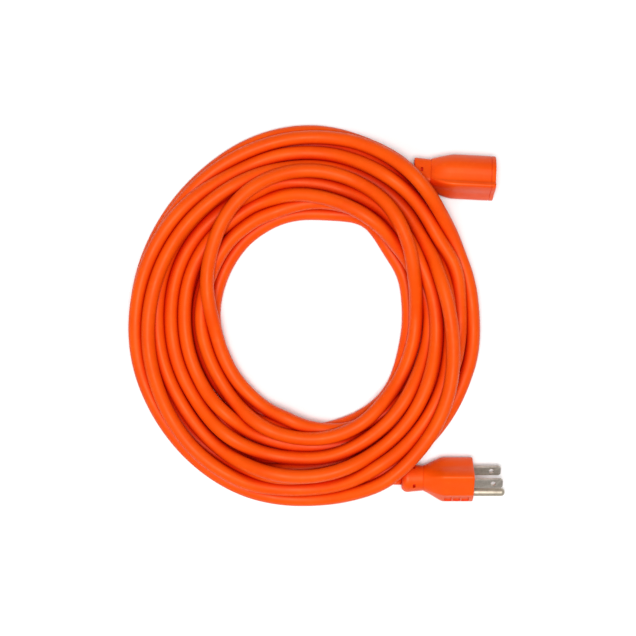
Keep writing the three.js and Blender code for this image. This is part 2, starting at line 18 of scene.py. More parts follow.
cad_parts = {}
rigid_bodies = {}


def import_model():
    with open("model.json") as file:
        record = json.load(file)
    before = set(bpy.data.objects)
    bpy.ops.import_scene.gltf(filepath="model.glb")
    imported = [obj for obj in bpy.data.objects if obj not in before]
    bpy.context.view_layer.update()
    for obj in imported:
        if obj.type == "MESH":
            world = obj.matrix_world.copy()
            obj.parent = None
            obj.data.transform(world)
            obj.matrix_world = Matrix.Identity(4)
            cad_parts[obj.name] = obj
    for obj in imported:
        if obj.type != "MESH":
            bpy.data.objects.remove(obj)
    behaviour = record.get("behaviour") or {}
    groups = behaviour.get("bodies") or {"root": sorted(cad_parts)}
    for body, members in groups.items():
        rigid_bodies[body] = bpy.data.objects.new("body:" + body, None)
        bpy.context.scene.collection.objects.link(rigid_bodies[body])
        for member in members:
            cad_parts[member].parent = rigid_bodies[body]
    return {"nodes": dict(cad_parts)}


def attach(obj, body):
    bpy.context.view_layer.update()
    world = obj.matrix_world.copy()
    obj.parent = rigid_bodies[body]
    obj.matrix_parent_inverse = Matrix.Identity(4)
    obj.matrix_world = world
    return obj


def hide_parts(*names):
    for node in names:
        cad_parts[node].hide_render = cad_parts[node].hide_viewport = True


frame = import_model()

LOG = logging.getLogger("extension_cord")
MM = 0.001
ASSEMBLY_GAP = 0.3  # millimetres between neighbouring pieces
BLADE_WIDTH = 6.35
BLADE_THICKNESS = 1.5
SMOOTH_UNDER = 32  # degrees between faces that are shaded as one surface


# ------------------------------------------------------------------ modelling helpers


def deselect_all() -> None:
    """Deselect every object, because operators act on all that is selected."""
    bpy.ops.object.select_all(action="DESELECT")


def make_active(piece: bpy.types.Object) -> None:
    """Select one object alone and make it the active one."""
    deselect_all()
    piece.select_set(True)
    bpy.context.view_layer.objects.active = piece


def place_ring(piece: bpy.types.Object, old: np.ndarray, new: np.ndarray) -> None:
    """Move the selected ring of vertices from one outline to the next.

    Args:
        piece: The object that is being shaped in edit mode.
        old: Where each point of the ring is now.
        new: Where each point of the ring goes.
    """
    shape = bmesh.from_edit_mesh(piece.data)
    for vertex in shape.verts:
        if vertex.select:
            nearest = int(np.argmin(((old - np.array(vertex.co)) ** 2).sum(1)))
            vertex.co = Vector(new[nearest])
    bmesh.update_edit_mesh(piece.data)


def loft(name: str, rings: list[np.ndarray]) -> bpy.types.Object:
    """Extrude a disc through a row of outlines into one closed piece.

    Args:
        name: Name of the piece.
        rings: Outlines with the same number of points, each an array of (x, y, z).

    Returns:
        The closed piece, with its faces pointing out.
    """
    deselect_all()
    bpy.ops.mesh.primitive_circle_add(vertices=len(rings[0]), radius=1, fill_type="NGON")
    piece = bpy.context.object
    piece.name = name
    start = np.array([vertex.co for vertex in piece.data.vertices])
    bpy.ops.object.mode_set(mode="EDIT")
    bpy.ops.mesh.select_all(action="SELECT")
    place_ring(piece, start, rings[0])
    for before, after in zip(rings, rings[1:]):
        bpy.ops.mesh.extrude_region_move()
        place_ring(piece, before, after)
    bpy.ops.mesh.select_all(action="SELECT")
    bpy.ops.mesh.normals_make_consistent(inside=False)
    bpy.ops.object.mode_set(mode="OBJECT")
    return piece


def box(name: str, centre: tuple, size: tuple, round_by: float) -> bpy.types.Object:
    """A block with rounded edges, for cutting a recess or a slot.

    Args:
        name: Name of the block.
        centre: Its middle.
        size: Its length along X, Y and Z.
        round_by: Radius of its edges.

    Returns:
        The block, with its place in its mesh.
    """
    deselect_all()
    bpy.ops.mesh.primitive_cube_add(size=1, location=centre, scale=size)
    block = bpy.context.object
    block.name = name
    bpy.ops.object.transform_apply(location=True, rotation=True, scale=True)
    bpy.ops.object.mode_set(mode="EDIT")
    bpy.ops.mesh.select_all(action="SELECT")
    bpy.ops.mesh.bevel(offset=round_by, segments=3, affect="EDGES")
    bpy.ops.object.mode_set(mode="OBJECT")
    return block


def cut(piece: bpy.types.Object, cutters: list[bpy.types.Object]) -> None:
    """Take the cutting shapes out of a piece, and delete them."""
    for cutter in cutters:
        make_active(piece)
        modifier = piece.modifiers.new("cut", "BOOLEAN")
        modifier.operation = "DIFFERENCE"
        modifier.solver = "EXACT"
        modifier.object = cutter
        bpy.ops.object.modifier_apply(modifier=modifier.name)
        bpy.data.objects.remove(cutter)


def soften(piece: bpy.types.Object, width: float, angle: float = 40, segments: int = 2) -> None:
    """Round the sharp edges of a piece and shade its round surfaces smooth.

    Args:
        piece: The piece.
        width: Width of the rounding.
        angle: Edges that turn more than this many degrees are rounded.
        segments: Number of faces across the rounding.
    """
    make_active(piece)
    modifier = piece.modifiers.new("soften", "BEVEL")
    modifier.width = width
    modifier.segments = segments
    modifier.limit_method = "ANGLE"
    modifier.angle_limit = math.radians(angle)
    modifier.harden_normals = False
    bpy.ops.object.modifier_apply(modifier=modifier.name)
    bpy.ops.object.shade_smooth_by_angle(angle=math.radians(angle))


def smooth_only(piece: bpy.types.Object, angle: float = 40) -> None:
    """Shade the round surfaces of a piece smooth and keep its edges."""
    make_active(piece)
    bpy.ops.object.shade_smooth_by_angle(angle=math.radians(angle))


def copy_of_node(node: str) -> bpy.types.Object:
    """A merged copy of a CAD node, which can be finished with modifiers."""
    source = frame["nodes"][node]
    piece = bpy.data.objects.new(f"{node}_finished", source.data.copy())
    bpy.context.scene.collection.objects.link(piece)
    piece.data.materials.clear()
    make_active(piece)
    bpy.ops.object.mode_set(mode="EDIT")
    bpy.ops.mesh.select_all(action="SELECT")
    bpy.ops.mesh.remove_doubles(threshold=0.00001)
    bpy.ops.mesh.dissolve_limited(angle_limit=math.radians(1))
    bpy.ops.object.mode_set(mode="OBJECT")
    return piece


def settle(piece: bpy.types.Object, finish: bpy.types.Material, slot: str, *nodes: str) -> None:
    """Dress a finished piece and let it stand for its CAD nodes.

    Args:
        piece: The piece, whose place is in its mesh.
        finish: Its material.
        slot: The record's material slot, which is not used.
        nodes: The CAD nodes that it replaces.
    """
    piece.data.materials.clear()
    piece.data.materials.append(finish)
    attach(piece, "root")
    if nodes:
        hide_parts(*nodes)
    LOG.info("%s: %d faces", piece.name, len(piece.data.polygons))


# ------------------------------------------------------------------ finishes


class Graph:
    """A material under construction, with short calls for its nodes."""

    def __init__(self, name: str) -> None:
        """Start a material with a Principled shader."""
        self.material = bpy.data.materials.new(name)
        self.material.use_nodes = True
        self.tree = self.material.node_tree
        self.shader = self.tree.nodes["Principled BSDF"]

    def node(self, kind: str, inputs: dict | None = None, **settings) -> bpy.types.Node:
        """Add a node.

        Args:
            kind: Type of the node.
            inputs: Value or source socket of each input, by name or number.
            settings: The node's own properties.

        Returns:
            The new node.
        """
        made = self.tree.nodes.new(kind)
        for key, value in settings.items():
            setattr(made, key, value)
        for key, value in (inputs or {}).items():
            if isinstance(value, bpy.types.NodeSocket):
                self.tree.links.new(value, made.inputs[key])
            else:
                made.inputs[key].default_value = value
        return made

    def math(self, operation: str, first, second=0.0) -> bpy.types.NodeSocket:
        """A Math node's result."""
        return self.node("ShaderNodeMath", {0: first, 1: second}, operation=operation).outputs[0]

    def noise(self, vector: bpy.types.NodeSocket, scale: float, detail: float = 3,
              roughness: float = 0.5) -> bpy.types.NodeSocket:
        """A Noise texture's value at a vector."""
        inputs = {"Vector": vector, "Scale": scale, "Detail": detail, "Roughness": roughness}
        return self.node("ShaderNodeTexNoise", inputs).outputs["Fac"]

    def ramp(self, value: bpy.types.NodeSocket, low: float, high: float, out_low: float = 0,
             out_high: float = 1) -> bpy.types.NodeSocket:
        """A value mapped from one range to another, and kept inside it."""
        inputs = {"Value": value, "From Min": low, "From Max": high,
                  "To Min": out_low, "To Max": out_high}
        return self.node("ShaderNodeMapRange", inputs).outputs["Result"]

    def blend(self, share, first, second) -> bpy.types.NodeSocket:
        """Two colours mixed by a share."""
        made = self.node("ShaderNodeMix", data_type="RGBA")
        made.inputs["Factor"].default_value = 0
        for key, value in (("Factor", share), ("A", first), ("B", second)):
            socket = [s for s in made.inputs if s.name == key and s.enabled][0]
            if isinstance(value, bpy.types.NodeSocket):
                self.tree.links.new(value, socket)
            else:
                socket.default_value = value
        return [s for s in made.outputs if s.enabled][0]

    def bump(self, height, distance: float, below=None) -> bpy.types.NodeSocket:
        """A Bump node's normal, on top of another normal."""
        inputs = {"Height": height, "Distance": distance, "Strength": 1.0}
        if below is not None:
            inputs["Normal"] = below
        return self.node("ShaderNodeBump", inputs).outputs["Normal"]

    def drive(self, **sockets) -> None:
        """Link node outputs to the shader's sockets, named with _ for a space."""
        for key, value in sockets.items():
            self.tree.links.new(value, self.shader.inputs[key.replace("_", " ")])

    def fix(self, values: dict) -> None:
        """Set the shader's constant sockets."""
        for key, value in values.items():
            self.shader.inputs[key].default_value = value


class Pattern(Enum):
    """What a vinyl surface's detail follows."""

    MOULDED = "moulded"
    EXTRUDED = "extruded"


@dataclass(frozen=True)
class Vinyl:
    """Glossy flexible vinyl, as a cord's jacket or as a moulding."""

    name: str
    colour: tuple = (0.84, 0.086, 0.0010, 1)
    worn: tuple = (0.87, 0.112, 0.0040, 1)
    deep: tuple = (0.79, 0.064, 0.0006, 1)
    # painted shade: the deep red that the occlusion node mixes in where surfaces crowd together
    painted_crease_shade: tuple = (0.58, 0.007, 0.0002, 1)
    shine: float = 0.28
    low_gloss: float = 0.54
    high_gloss: float = 0.40
    pattern: Pattern = Pattern.MOULDED

    def material(self) -> bpy.types.Material:
        """The material with its colour drift, painted shade in creases, gloss marks and surface
        relief.
        """
        graph = Graph(self.name)
        if self.pattern is Pattern.EXTRUDED:
            place, relief = self._extruded(graph)
        else:
            place, relief = self._moulded(graph)
        drift = graph.ramp(graph.noise(place, 28, 4), 0.35, 0.68)
        smudge = graph.ramp(graph.noise(place, 240, 5, 0.62), 0.52, 0.78)
        tone = graph.blend(drift, self.deep, self.colour)
        tone = graph.blend(graph.math("MULTIPLY", smudge, 0.45), tone, self.worn)
        # Painted shade: where the occlusion node finds close surfaces, in creases, between turns and
        # in recesses, the colour turns to the deep red of the painted crease shade.
        painted_shade_occlusion = graph.node("ShaderNodeAmbientOcclusion", {"Distance": 0.012}, samples=8)
        tone = graph.blend(graph.ramp(painted_shade_occlusion.outputs["AO"], 0.15, 0.85), self.painted_crease_shade, tone)
        gloss = graph.noise(place, 95, 5, 0.6)
        rough = graph.ramp(gloss, 0.3, 0.72, self.high_gloss, self.low_gloss)
        graph.drive(Base_Color=tone, Roughness=rough, Normal=relief)
        graph.fix({"IOR": 1.5, "Specular IOR Level": self.shine,
                   "Specular Tint": (1, 0.6, 0.38, 1)})
        return graph.material

    def _moulded(self, graph: Graph) -> tuple:
        """Object coordinates, and the faint orange peel of a mould with a few scuffs."""
        place = graph.node("ShaderNodeTexCoord").outputs["Object"]
        peel = graph.bump(graph.noise(place, 1500, 2), 0.000035)
        stretched = graph.node("ShaderNodeMapping", {"Vector": place, "Scale": (60, 900, 900)})
        scuff = graph.ramp(graph.noise(stretched.outputs[0], 1, 4, 0.7), 0.60, 0.75)
        return place, graph.bump(scuff, -0.00002, peel)

    def _extruded(self, graph: Graph) -> tuple:
        """Seamless coordinates round and along the cord, and its draw lines and lay marks."""
        uv = graph.node("ShaderNodeUVMap", uv_map="cord_uv").outputs["UV"]
        split = graph.node("ShaderNodeSeparateXYZ", {"Vector": uv})
        turn = graph.math("MULTIPLY", split.outputs["X"], 2 * math.pi)
        along = split.outputs["Y"]
        across = graph.math("MULTIPLY", graph.math("COSINE", turn), 0.0042)
        upright = graph.math("MULTIPLY", graph.math("SINE", turn), 0.0042)
        place = graph.node("ShaderNodeCombineXYZ", {0: across, 1: upright, 2: along}).outputs[0]
        lines = graph.node("ShaderNodeMapping", {"Vector": place, "Scale": (1500, 1500, 14)})
        drawn = graph.bump(graph.noise(lines.outputs[0], 1, 3, 0.6), 0.00003)
        lay = graph.math("MULTIPLY", along, 2 * math.pi / 0.085)
        strands = graph.math("ADD", graph.math("MULTIPLY", turn, 3), lay)
        swell = graph.math("MULTIPLY", graph.math("SINE", strands), 0.5)
        lumps = graph.math("ADD", swell, graph.noise(place, 55, 2))
        return place, graph.bump(lumps, 0.00009, drawn)


@dataclass(frozen=True)
class Metal:
    """Plated or plain sheet metal with fine grain along X."""

    name: str
    colour: tuple
    tarnish: tuple
    low: float = 0.24
    high: float = 0.42
    grain: tuple = (120, 5200, 5200)

    def material(self) -> bpy.types.Material:
        """The material with its grain, tarnish and handling marks."""
        graph = Graph(self.name)
        place = graph.node("ShaderNodeTexCoord").outputs["Object"]
        stretched = graph.node("ShaderNodeMapping", {"Vector": place, "Scale": self.grain})
        grain = graph.noise(stretched.outputs[0], 1, 4, 0.65)
        marks = graph.noise(place, 420, 5, 0.6)
        tone = graph.blend(graph.ramp(marks, 0.42, 0.72), self.colour, self.tarnish)
        rough = graph.ramp(graph.math("ADD", grain, marks), 0.6, 1.4, self.low, self.high)
        relief = graph.bump(grain, 0.000012, graph.bump(marks, 0.00002))
        graph.drive(Base_Color=tone, Roughness=rough, Normal=relief)
        graph.fix({"Metallic": 1.0})
        return graph.material


@dataclass(frozen=True)
class HardPlastic:
    """Stiff moulded plastic or solid wire insulation."""

    name: str
    colour: tuple
    roughness: float = 0.5

    def material(self) -> bpy.types.Material:
        """The material with a light grain and a faint drift of colour."""
        graph = Graph(self.name)
        place = graph.node("ShaderNodeTexCoord").outputs["Object"]
        drift = graph.ramp(graph.noise(place, 180, 4), 0.35, 0.7)
        paler = tuple(min(1.0, c * 1.25 + 0.01) for c in self.colour[:3]) + (1,)
        rough = graph.ramp(drift, 0, 1, self.roughness - 0.08, self.roughness + 0.08)
        relief = graph.bump(graph.noise(place, 2600, 2), 0.00002)
        tone = graph.blend(drift, self.colour, paler)
        graph.drive(Base_Color=tone, Roughness=rough, Normal=relief)
        graph.fix({"Specular IOR Level": 0.45})
        return graph.material


class Finish(Enum):
    """Every finish of the cord, named for what wears it."""

    JACKET = Vinyl("orange_jacket", pattern=Pattern.EXTRUDED)
    MOULDING = Vinyl("orange_moulding", low_gloss=0.5, high_gloss=0.38, shine=0.4)
    NICKEL = Metal("nickel_plate", (0.55, 0.50, 0.44, 1), (0.40, 0.355, 0.30, 1), 0.42, 0.58)
    PIN = Metal("pin_metal", (0.56, 0.50, 0.40, 1), (0.44, 0.38, 0.30, 1), 0.52, 0.64)
    BRASS = Metal("spring_brass", (0.62, 0.43, 0.15, 1), (0.45, 0.29, 0.10, 1))
    COPPER = Metal("copper", (0.78, 0.34, 0.17, 1), (0.55, 0.22, 0.10, 1))
    INSERT = HardPlastic("dark_insert", (0.022, 0.021, 0.020, 1), 0.55)
    LINE = HardPlastic("line_insulation", (0.012, 0.012, 0.012, 1), 0.45)
    NEUTRAL = HardPlastic("neutral_insulation", (0.78, 0.77, 0.72, 1), 0.48)
    GROUND = HardPlastic("ground_insulation", (0.03, 0.27, 0.05, 1), 0.48)


class Paintbox:
    """Makes each finish's material once."""

    def __init__(self) -> None:
        """Start with nothing made."""
        self.made: dict[Finish, bpy.types.Material] = {}

    def get(self, finish: Finish) -> bpy.types.Material:
        """The material of a finish."""
        if finish not in self.made:
            self.made[finish] = finish.value.material()
        return self.made[finish]


# ------------------------------------------------------------------ the cord


@dataclass(frozen=True)
class Turn:
    """One turn of the coil, anticlockwise from +X.

    radii holds the way from the coil's middle to the cord, in millimetres, every 30 degrees.
    order holds how late the turn is laid there, every 60 degrees: a later turn lies on top.
    """

    radii: tuple
    order: tuple


TURNS = (
    Turn((98, 98, 103, 98, 93.5, 88.5, 84.5, 84, 84.5, 85.5, 84.5, 86), (0, 0, 0, 0, 0, 0)),
    Turn((90.5, 94.5, 103, 106.5, 100.5, 95.5, 93.5, 93.5, 94, 92.5, 92, 95), (1, 1, 1, 1, 1, 1)),
    Turn((95, 102, 111, 114.5, 107.5, 104.5, 103.5, 105.5, 108, 105.5, 105.5, 105.5),
         (2, 1, 1, 1, 1, 2)),
    Turn((101.5, 101.5, 109.5, 111, 106, 102.5, 99, 99, 100, 96.5, 93.5, 95), (1, 6, 3, 2, 2, 2)),
    Turn((95, 95, 99.5, 101, 100, 100.5, 103.5, 106.5, 110, 110.5, 108.5, 98), (4, 5, 4, 4, 3, 8)),
    Turn((87.5, 85, 92.5, 92.5, 91.5, 93.5, 95.5, 101.5, 106.5, 105, 100, 94), (7, 5.5, 6, 6, 6, 6)),
    Turn((87.5, 88.5, 91, 90.5, 90, 91.5, 91.5, 93, 96, 96, 91.5, 84.5), (3, 2, 2, 4, 5, 6.5)),
    Turn((79, 77.5, 80, 83, 83.5, 84.5, 83, 83.5, 86, 86, 82, 77), (6, 4, 5, 5, 5, 5)),
    Turn((76, 72, 71.5, 74.5, 75.5, 76.5, 75.5, 75.5, 77.5, 78.5, 82, 84.5), (4, 4.5, 4.5, 3, 2, 2)),
    Turn((84.5, 80, 74, 71, 68.5, 65, 64, 64, 69.5, 73.5, 72.5, 68), (2, 2, 2, 3, 5, 5.5)),
    Turn((67.5, 74, 86, 90, 82.5, 68, 58, 56.5, 59.5, 67, 75, 80), (5.5, 9, 9, 7, 4, 2)),
    Turn((80.5, 80.5, 76, 73, 70, 67, 68, 68, 68.5, 70.5, 71.5, 67), (1, 1, 1, 1, 1.5, 1)),
    Turn((64, 68.5, 71, 66, 63, 58.5, 57, 56.5, 64.5, 76.5, 80.5, 76),
         (0, 0, 0, 0, 0.5, 0.5)),
    Turn((72, 75, 78.5, 81.5, 80, 75, 74, 75.5, 85, 96.5, 98, 98), (0.2, 0.2, 0.2, 0.2, 0.1, 0)),
)


@dataclass
class CoiledCord:
    """The cord from the connector to the plug, laid turn on turn and left to settle."""

    diameter: float = 8.404
    middle: tuple = (-7.4, -1.2)
    step: int = 5  # degrees from one station to the next
    first_angle: int = 85
    last_angle: int = 275  # of the last turn
    ring_gap: float = 2.6
    sides: int = 20
    rounds: int = 700
    stiffness: float = 0.055
    connector_route: tuple = (
        (58.65, 87.47, 11.62), (56.65, 87.58, 11.62), (52.0, 87.9, 11.3), (45.0, 89.0, 10.2),
        (38.0, 90.5, 8.6), (31.0, 92.1, 7.0), (24.0, 93.6, 5.9), (16.0, 94.9, 5.4),
        (8.0, 95.8, 5.3),
    )
    plug_route: tuple = (
        (51.1, -99.35, 11.83), (49.1, -99.35, 11.83), (46.0, -99.2, 11.7), (40.0, -98.7, 10.4),
        (33.0, -97.8, 8.4), (26.0, -97.1, 6.6), (18.0, -96.9, 5.5), (9.0, -97.4, 5.3),
    )
    path: np.ndarray = field(default=None, repr=False)

    @property
    def per_turn(self) -> int:
        """Stations in one turn."""
        return 360 // self.step

    def _polar(self, points: tuple) -> tuple:
        """Angle, radius and height of points, round the coil's middle."""
        found = np.array(points)
        across, up = found[:, 0] - self.middle[0], found[:, 1] - self.middle[1]
        return np.degrees(np.arctan2(up, across)) % 360, np.hypot(across, up), found[:, 2]

    @staticmethod
    def _through(knots: np.ndarray, gap: float, at: np.ndarray) -> np.ndarray:
        """A smooth curve through evenly spaced knots.

        Args:
            knots: The values at 0, gap, 2 gap and so on.
            gap: Spacing of the knots.
            at: Where to read the curve.

        Returns:
            The curve's values.
        """
        slope = np.gradient(knots, gap)
        index = np.clip((at // gap).astype(int), 0, len(knots) - 2)
        t = at / gap - index
        start, end = knots[index], knots[index + 1]
        lead, trail = slope[index] * gap, slope[index + 1] * gap
        return ((2 * t**3 - 3 * t**2 + 1) * start + (t**3 - 2 * t**2 + t) * lead
                + (3 * t**2 - 2 * t**3) * end + (t**3 - t**2) * trail)

    def _stations(self) -> tuple:
        """Angle, wanted radius, height, laying order and whether it is held, at every station."""
        radii = np.array([r for turn in TURNS for r in turn.radii] + [TURNS[-1].radii[-1]] * 2)
        order = np.array([o for turn in TURNS for o in turn.order] + [TURNS[-1].order[-1]] * 2)
        last = (len(TURNS) - 1) * 360
        angle = np.arange(55, last + 301, self.step).astype(float)
        radius = self._through(radii, 30, angle)
        level = np.interp(angle, np.arange(len(order)) * 60.0, order)
        height = np.full(len(angle), self.diameter / 2)
        for held, route, offset in (
            (angle < self.first_angle, self.connector_route, 0),
            (angle > last + self.last_angle, self.plug_route, last),
        ):
            at, far, high = self._polar(route)
            sort = np.argsort(at)
            radius[held] = np.interp(angle[held] - offset, at[sort], far[sort])
            height[held] = np.interp(angle[held] - offset, at[sort], high[sort])
            level[held] = -1
        held = (angle < self.first_angle) | (angle > last + self.last_angle)
        return angle, radius, height, level, held

    def _lay(self, angle: np.ndarray, radius: np.ndarray, height: np.ndarray,
             level: np.ndarray, held: np.ndarray) -> np.ndarray:
        """Heights of the turns when each is laid on those before it."""
        height = height.copy()
        spoke = np.round(angle / self.step).astype(int) % self.per_turn
        for each in range(self.per_turn):
            here = np.flatnonzero(spoke == each)
            here = here[np.argsort(level[here], kind="stable")]
            for count, i in enumerate(here):
                below = here[:count]
                if held[i] or not count:
                    continue
                reach = self.diameter**2 - (radius[below] - radius[i]) ** 2
                tops = height[below] + np.sqrt(np.maximum(reach, 0))
                height[i] = max([self.diameter / 2, *tops[reach > 0]])
        return height

    def _ends_in_the_way(self) -> list:
        """What the spokes meet of the two moulded ends: angle, radius, height, size and slant."""
        met = []
        for angles, line, neck, grow, height in (
            ((50, 45, 40, 35), 88.5, (8.5, 76), (3.0, 14), 12.2),
            ((305, 310, 315, 320), -98.15, (8.6, 71.9), (3.4, 11.5), 11.9),
        ):
            for angle in angles:
                sine, cosine = math.sin(math.radians(angle)), math.cos(math.radians(angle))
                radius = line / sine
                share = (radius * cosine - neck[1]) / grow[1]
                size = neck[0] + grow[0] * min(max(share, 0), 1)
                met.append((angle // self.step, radius, height, size, abs(sine)))
        return met

    def _settle(self, angle: np.ndarray, wanted: np.ndarray, height: np.ndarray,
                held: np.ndarray) -> tuple[np.ndarray, np.ndarray]:
        """Let the laid turns sink, touch and straighten until they rest.

        Args:
            angle: Angle of each station.
            wanted: Radius that each station is drawn back to.
            height: Height of each station when laid.
            held: Stations that stay where they are.

        Returns:
            The radii and heights at rest.
        """
        radius, height = wanted.copy(), height.copy()
        total, free = len(angle), ~held
        loose = free.astype(float)
        spoke = np.round(angle / self.step).astype(int) % self.per_turn
        ends = self._ends_in_the_way()
        for _ in range(self.rounds):
            radius[free] += 0.06 * (wanted[free] - radius[free])
            height[free] -= 0.03
            for line in (radius, height):
                bend = np.zeros(total)
                bend[2:-2] = line[:-4] - 4 * line[1:-3] + 6 * line[2:-2] - 4 * line[3:-1] + line[4:]
                line[free] -= self.stiffness * bend[free]
            slant = np.gradient(radius) / (radius * math.radians(self.step))
            narrow = 1 / np.sqrt(1 + slant**2)
            for _ in range(2):
                self._push_apart(radius, height, loose, narrow)
                for at, far, high, size, sine in ends:
                    near = np.flatnonzero((spoke == at) & free)
                    aside, above = (radius[near] - far) * sine, height[near] - high
                    gap = np.hypot(aside, above) + 1e-9
                    deep = np.maximum(size + self.diameter / 2 + 0.1 - gap, 0)
                    height[near] += deep * np.maximum(above / gap, 0.5)
                    radius[near] += 0.3 * deep * aside / gap / sine
                height[free] = np.maximum(height[free], self.diameter / 2)
        return radius, height

    def _push_apart(self, radius: np.ndarray, height: np.ndarray, loose: np.ndarray,
                    narrow: np.ndarray) -> None:
        """Move turns that overlap on a spoke until they only touch."""
        total = len(radius)
        out, up, count = np.zeros(total), np.zeros(total), np.zeros(total)
        for turns in range(1, len(TURNS)):
            low = np.arange(0, total - self.per_turn * turns)
            high = low + self.per_turn * turns
            across = (radius[high] - radius[low]) * 0.5 * (narrow[low] + narrow[high])
            above = height[high] - height[low]
            gap = np.hypot(across, above) + 1e-9
            hit = gap < self.diameter
            low, high, across, above, gap = (q[hit] for q in (low, high, across, above, gap))
            share = (self.diameter - gap) / np.maximum(loose[low] + loose[high], 1) / gap
            for ends, sign in ((low, -1), (high, 1)):
                out[ends] += sign * share * across * loose[ends]
                up[ends] += sign * share * above * loose[ends]
                count[ends] += 1
        count = np.sqrt(np.maximum(count, 1))
        radius += out / count
        height += up / count

    def _curve(self, points: np.ndarray) -> np.ndarray:
        """Evenly spaced points of a smooth curve through the given ones."""
        padded = np.vstack([2 * points[0] - points[1], points, 2 * points[-1] - points[-2]])
        fine = []
        for a, b, c, d in zip(padded, padded[1:], padded[2:], padded[3:]):
            t = np.linspace(0, 1, 12, endpoint=False)[:, None]
            fine.append(0.5 * (2 * b + (c - a) * t + (2 * a - 5 * b + 4 * c - d) * t**2
                               + (3 * b - a - 3 * c + d) * t**3))
        fine = np.vstack([*fine, points[-1:]])
        along = np.concatenate([[0], np.cumsum(np.linalg.norm(np.diff(fine, axis=0), axis=1))])
        count = int(along[-1] / self.ring_gap) + 1
        even = np.linspace(0, along[-1], count)
        return np.stack([np.interp(even, along, fine[:, k]) for k in range(3)], 1)

    def build(self) -> bpy.types.Object:
        """Work out the cord's route and model it as one tube."""
        angle, wanted, height, level, held = self._stations()
        laid = self._lay(angle, wanted, height, level, held)
        radius, height = self._settle(angle, wanted, laid, held)
        turn = np.radians(angle)
        points = np.stack([self.middle[0] + radius * np.cos(turn),
                           self.middle[1] + radius * np.sin(turn), height], 1)[~held]
        route = np.vstack([self.connector_route, points, self.plug_route[::-1]])
        self.path = self._curve(route) * MM
        return self._tube()

    def _tube(self) -> bpy.types.Object:
        """The tube round the path, with a map of how far round and how far along."""
        path, sides, radius = self.path, self.sides, self.diameter / 2 * MM
        ahead = np.gradient(path, axis=0)
        ahead /= np.linalg.norm(ahead, axis=1)[:, None]
        side = np.cross(ahead[0], (0, 0, 1.0))
        side /= np.linalg.norm(side)
        around = np.linspace(0, 2 * math.pi, sides, endpoint=False)
        rings = []
        for centre, forward in zip(path, ahead):
            side = side - forward * side.dot(forward)
            side /= np.linalg.norm(side)
            up = np.cross(forward, side)
            rings.append(centre + radius * (np.cos(around)[:, None] * side
                                            + np.sin(around)[:, None] * up))
        count = len(rings)
        faces = [(i * sides + j, i * sides + (j + 1) % sides,
                  (i + 1) * sides + (j + 1) % sides, (i + 1) * sides + j)
                 for i in range(count - 1) for j in range(sides)]
        faces += [tuple(range(sides))[::-1], tuple((count - 1) * sides + j for j in range(sides))]
        mesh = bpy.data.meshes.new("cord")
        mesh.from_pydata(np.vstack(rings).tolist(), [], faces)
        layer = mesh.uv_layers.new(name="cord_uv")
        along = np.concatenate([[0], np.cumsum(np.linalg.norm(np.diff(path, axis=0), axis=1))])
        places = [(u / sides, along[i + di]) for i in range(count - 1) for j in range(sides)
                  for u, di in ((j, 0), (j + 1, 0), (j + 1, 1), (j, 1))]
        places += [(0, 0)] * sides + [(0, along[-1])] * sides
        layer.data.foreach_set("uv", np.array(places, float).ravel())
        mesh.polygons.foreach_set("use_smooth", [True] * len(mesh.polygons))
        piece = bpy.data.objects.new("cord", mesh)
        bpy.context.scene.collection.objects.link(piece)
        make_active(piece)
        bpy.ops.object.mode_set(mode="EDIT")
        bpy.ops.mesh.select_all(action="SELECT")
        bpy.ops.mesh.normals_make_consistent(inside=False)
        bpy.ops.object.mode_set(mode="OBJECT")
        return piece

    def length(self) -> float:
        """Length of the path, in metres."""
        return float(np.linalg.norm(np.diff(self.path, axis=0), axis=1).sum())


# ------------------------------------------------------------------ moulded ends


@dataclass(frozen=True)
class Neck:
    """The outline in which a moulded end meets its strain relief, in millimetres."""

    axis: float
    half_y: float
    half_z: float
    fillet: float


def polygon_with_fillets(corners: list, fillets: list, steps: int = 12) -> np.ndarray:
    """Points of a closed outline whose corners are rounded.

    Args:
        corners: The corners, anticlockwise.
        fillets: Radius at each corner.
        steps: Number of points in each rounding.

    Returns:
        The points, as an array of (y, z).
    """
    points = []
    for i, corner in enumerate(corners):
        before = np.array(corners[i - 1], float)
        after = np.array(corners[(i + 1) % len(corners)], float)
        here = np.array(corner, float)
        back, on = before - here, after - here
        back, on = back / np.linalg.norm(back), on / np.linalg.norm(on)
        half = math.acos(np.clip(back @ on, -1, 1)) / 2
        reach = fillets[i] / math.tan(half)
        centre = here + (back + on) / np.linalg.norm(back + on) * fillets[i] / math.sin(half)
        start, end = here + back * reach - centre, here + on * reach - centre
        turn = math.atan2(start[0] * end[1] - start[1] * end[0], start @ end)
        for t in np.linspace(0, turn, steps):
            c, s = math.cos(t), math.sin(t)
            points.append(centre + (start[0] * c - start[1] * s, start[0] * s + start[1] * c))
    return np.array(points)


